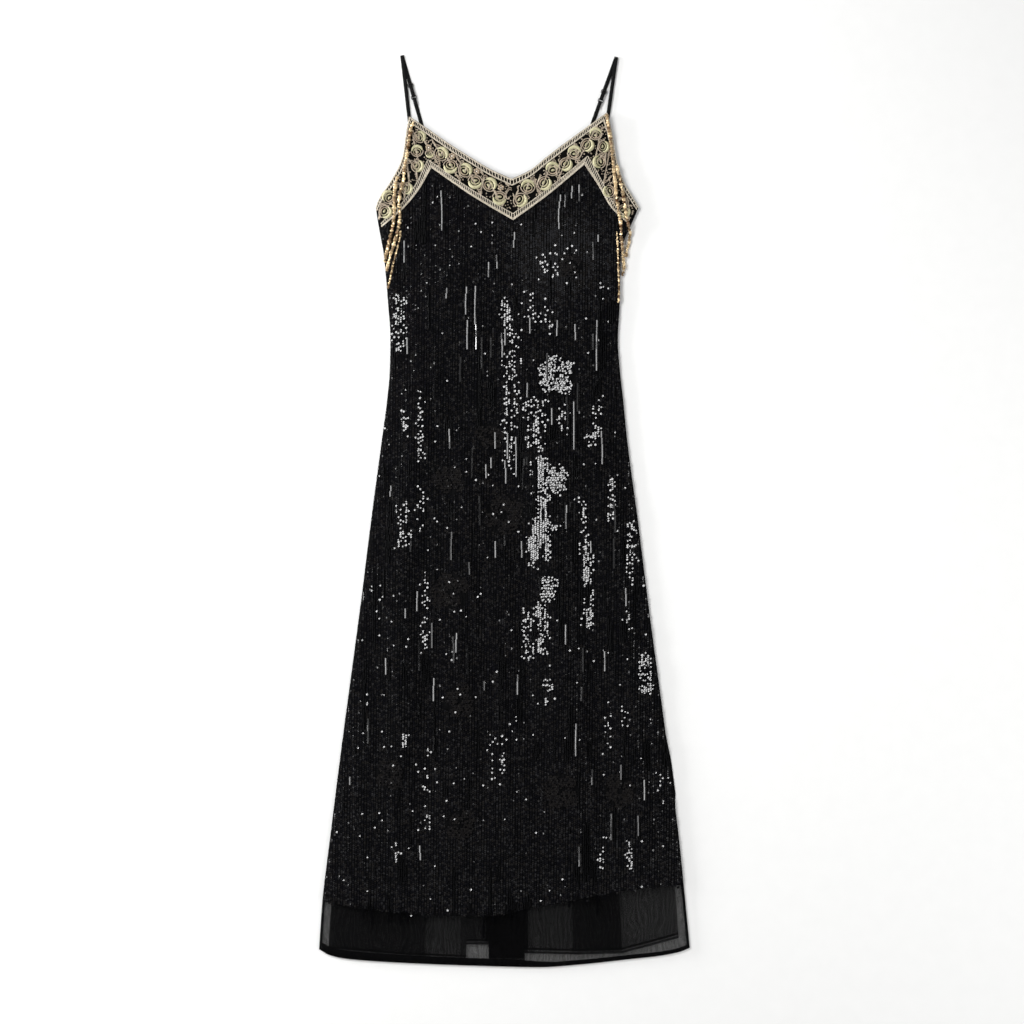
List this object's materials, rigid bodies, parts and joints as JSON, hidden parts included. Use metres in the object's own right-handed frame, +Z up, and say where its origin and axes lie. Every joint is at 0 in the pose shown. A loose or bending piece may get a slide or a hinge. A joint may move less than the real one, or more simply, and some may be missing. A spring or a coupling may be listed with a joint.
{
  "type": "spaghetti strap dress",
  "caption": "Long black sequinned slip dress laid flat, with thin adjustable straps, a jewelled V neckline band, gold bead strands and a sheer hem.",
  "frame": {"origin": "on the floor plane under the middle of the laid dress's length and width, without the bead strands", "axes": "+Y along the dress from hem to straps, +X to the dress's right side as seen from above, +Z up out of its front"},
  "size_m": [0.5558, 1.368, 0.013],
  "materials": {
    "beaded_cloth": "black sequins and bugle beads sewn on chiffon",
    "chiffon": "sheer black chiffon",
    "gold_trim": "black ribbon embroidered with silver-gold cord and beads",
    "black_strap": "black satin tape",
    "black_hardware": "black moulded strap hardware",
    "gold_beads": "gold-tone beads and cup sequins on thread"
  },
  "bodies": {
    "root": {"front_panel": "beaded_cloth", "back_panel": "beaded_cloth", "lining_front": "chiffon", "lining_back": "chiffon", "neck_trim_left": "gold_trim", "neck_trim_right": "gold_trim", "armhole_trim_left": "gold_trim", "armhole_trim_right": "gold_trim", "strap_left": "black_strap", "strap_right": "black_strap", "strap_tab_left": "black_strap", "strap_tab_right": "black_strap", "strap_ring_left": "black_hardware", "strap_ring_right": "black_hardware", "strap_slide_left": "black_hardware", "strap_slide_right": "black_hardware", "bead_strand_long_left": "gold_beads", "bead_strand_short_left": "gold_beads", "bead_strand_fine_left": "gold_beads", "bead_strand_long_right": "gold_beads", "bead_strand_short_right": "gold_beads", "bead_strand_fine_right": "gold_beads"}
  },
  "joints": []
}
